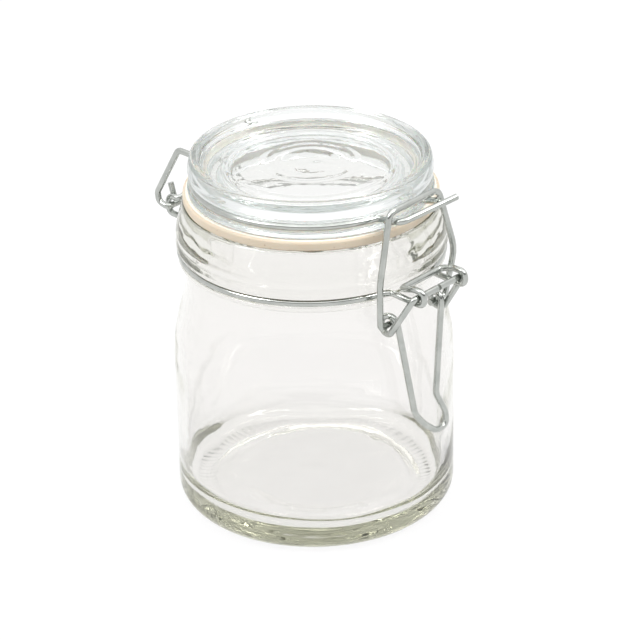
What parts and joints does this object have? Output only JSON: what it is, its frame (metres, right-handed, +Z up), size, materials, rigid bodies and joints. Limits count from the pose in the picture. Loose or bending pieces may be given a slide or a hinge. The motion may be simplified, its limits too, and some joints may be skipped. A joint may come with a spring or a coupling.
{
  "type": "clip top jar",
  "caption": "Empty clear glass storage jar, shut, with a recessed glass lid, a rubber gasket and a bent-wire clip and hinge",
  "frame": {"origin": "the centre of the jar's base, on the surface that it stands on", "axes": "+Z is up along the jar's axis, -Y is the front where the clip is, +Y is the back where the lid's hinge is, and +X is across the clip"},
  "size_m": [0.092, 0.1158, 0.1217],
  "materials": {
    "jar_glass": "clear pressed soda-lime glass, smooth, slightly olive in its thick edges",
    "lid_glass": "clear pressed soda-lime glass, smooth, slightly blue-green in its thick edges",
    "gasket_rubber": "matt pale natural rubber with fine darker specks",
    "clip_wire": "bright zinc-plated drawn steel wire"
  },
  "bodies": {
    "jar": {"jar": "jar_glass", "neck_wire": "clip_wire"},
    "lid": {"lid": "lid_glass", "gasket": "gasket_rubber", "lid_wire_left": "clip_wire", "lid_wire_right": "clip_wire"},
    "lever": {"lever_wire": "clip_wire"},
    "bail": {"bail_wire": "clip_wire"}
  },
  "joints": [
    {"name": "lid_hinge", "type": "hinge", "parent": "jar", "child": "lid", "pos_m": [0, 0.053, 0.0909], "axis": [-1, 0, 0], "range_deg": [0, 110]},
    {"name": "lever_pivot", "type": "hinge", "parent": "jar", "child": "lever", "pos_m": [0, -0.0541, 0.0912], "axis": [-1, 0, 0], "range_deg": [0, 45]},
    {"name": "bail_pivot", "type": "hinge", "parent": "lever", "child": "bail", "pos_m": [0, -0.0442, 0.0797], "axis": [-1, 0, 0], "range_deg": [-166.5, 0]}
  ],
  "couplings": [
    {"joint": "bail_pivot", "follows": "lever_pivot", "ratio": -3.7}
  ]
}
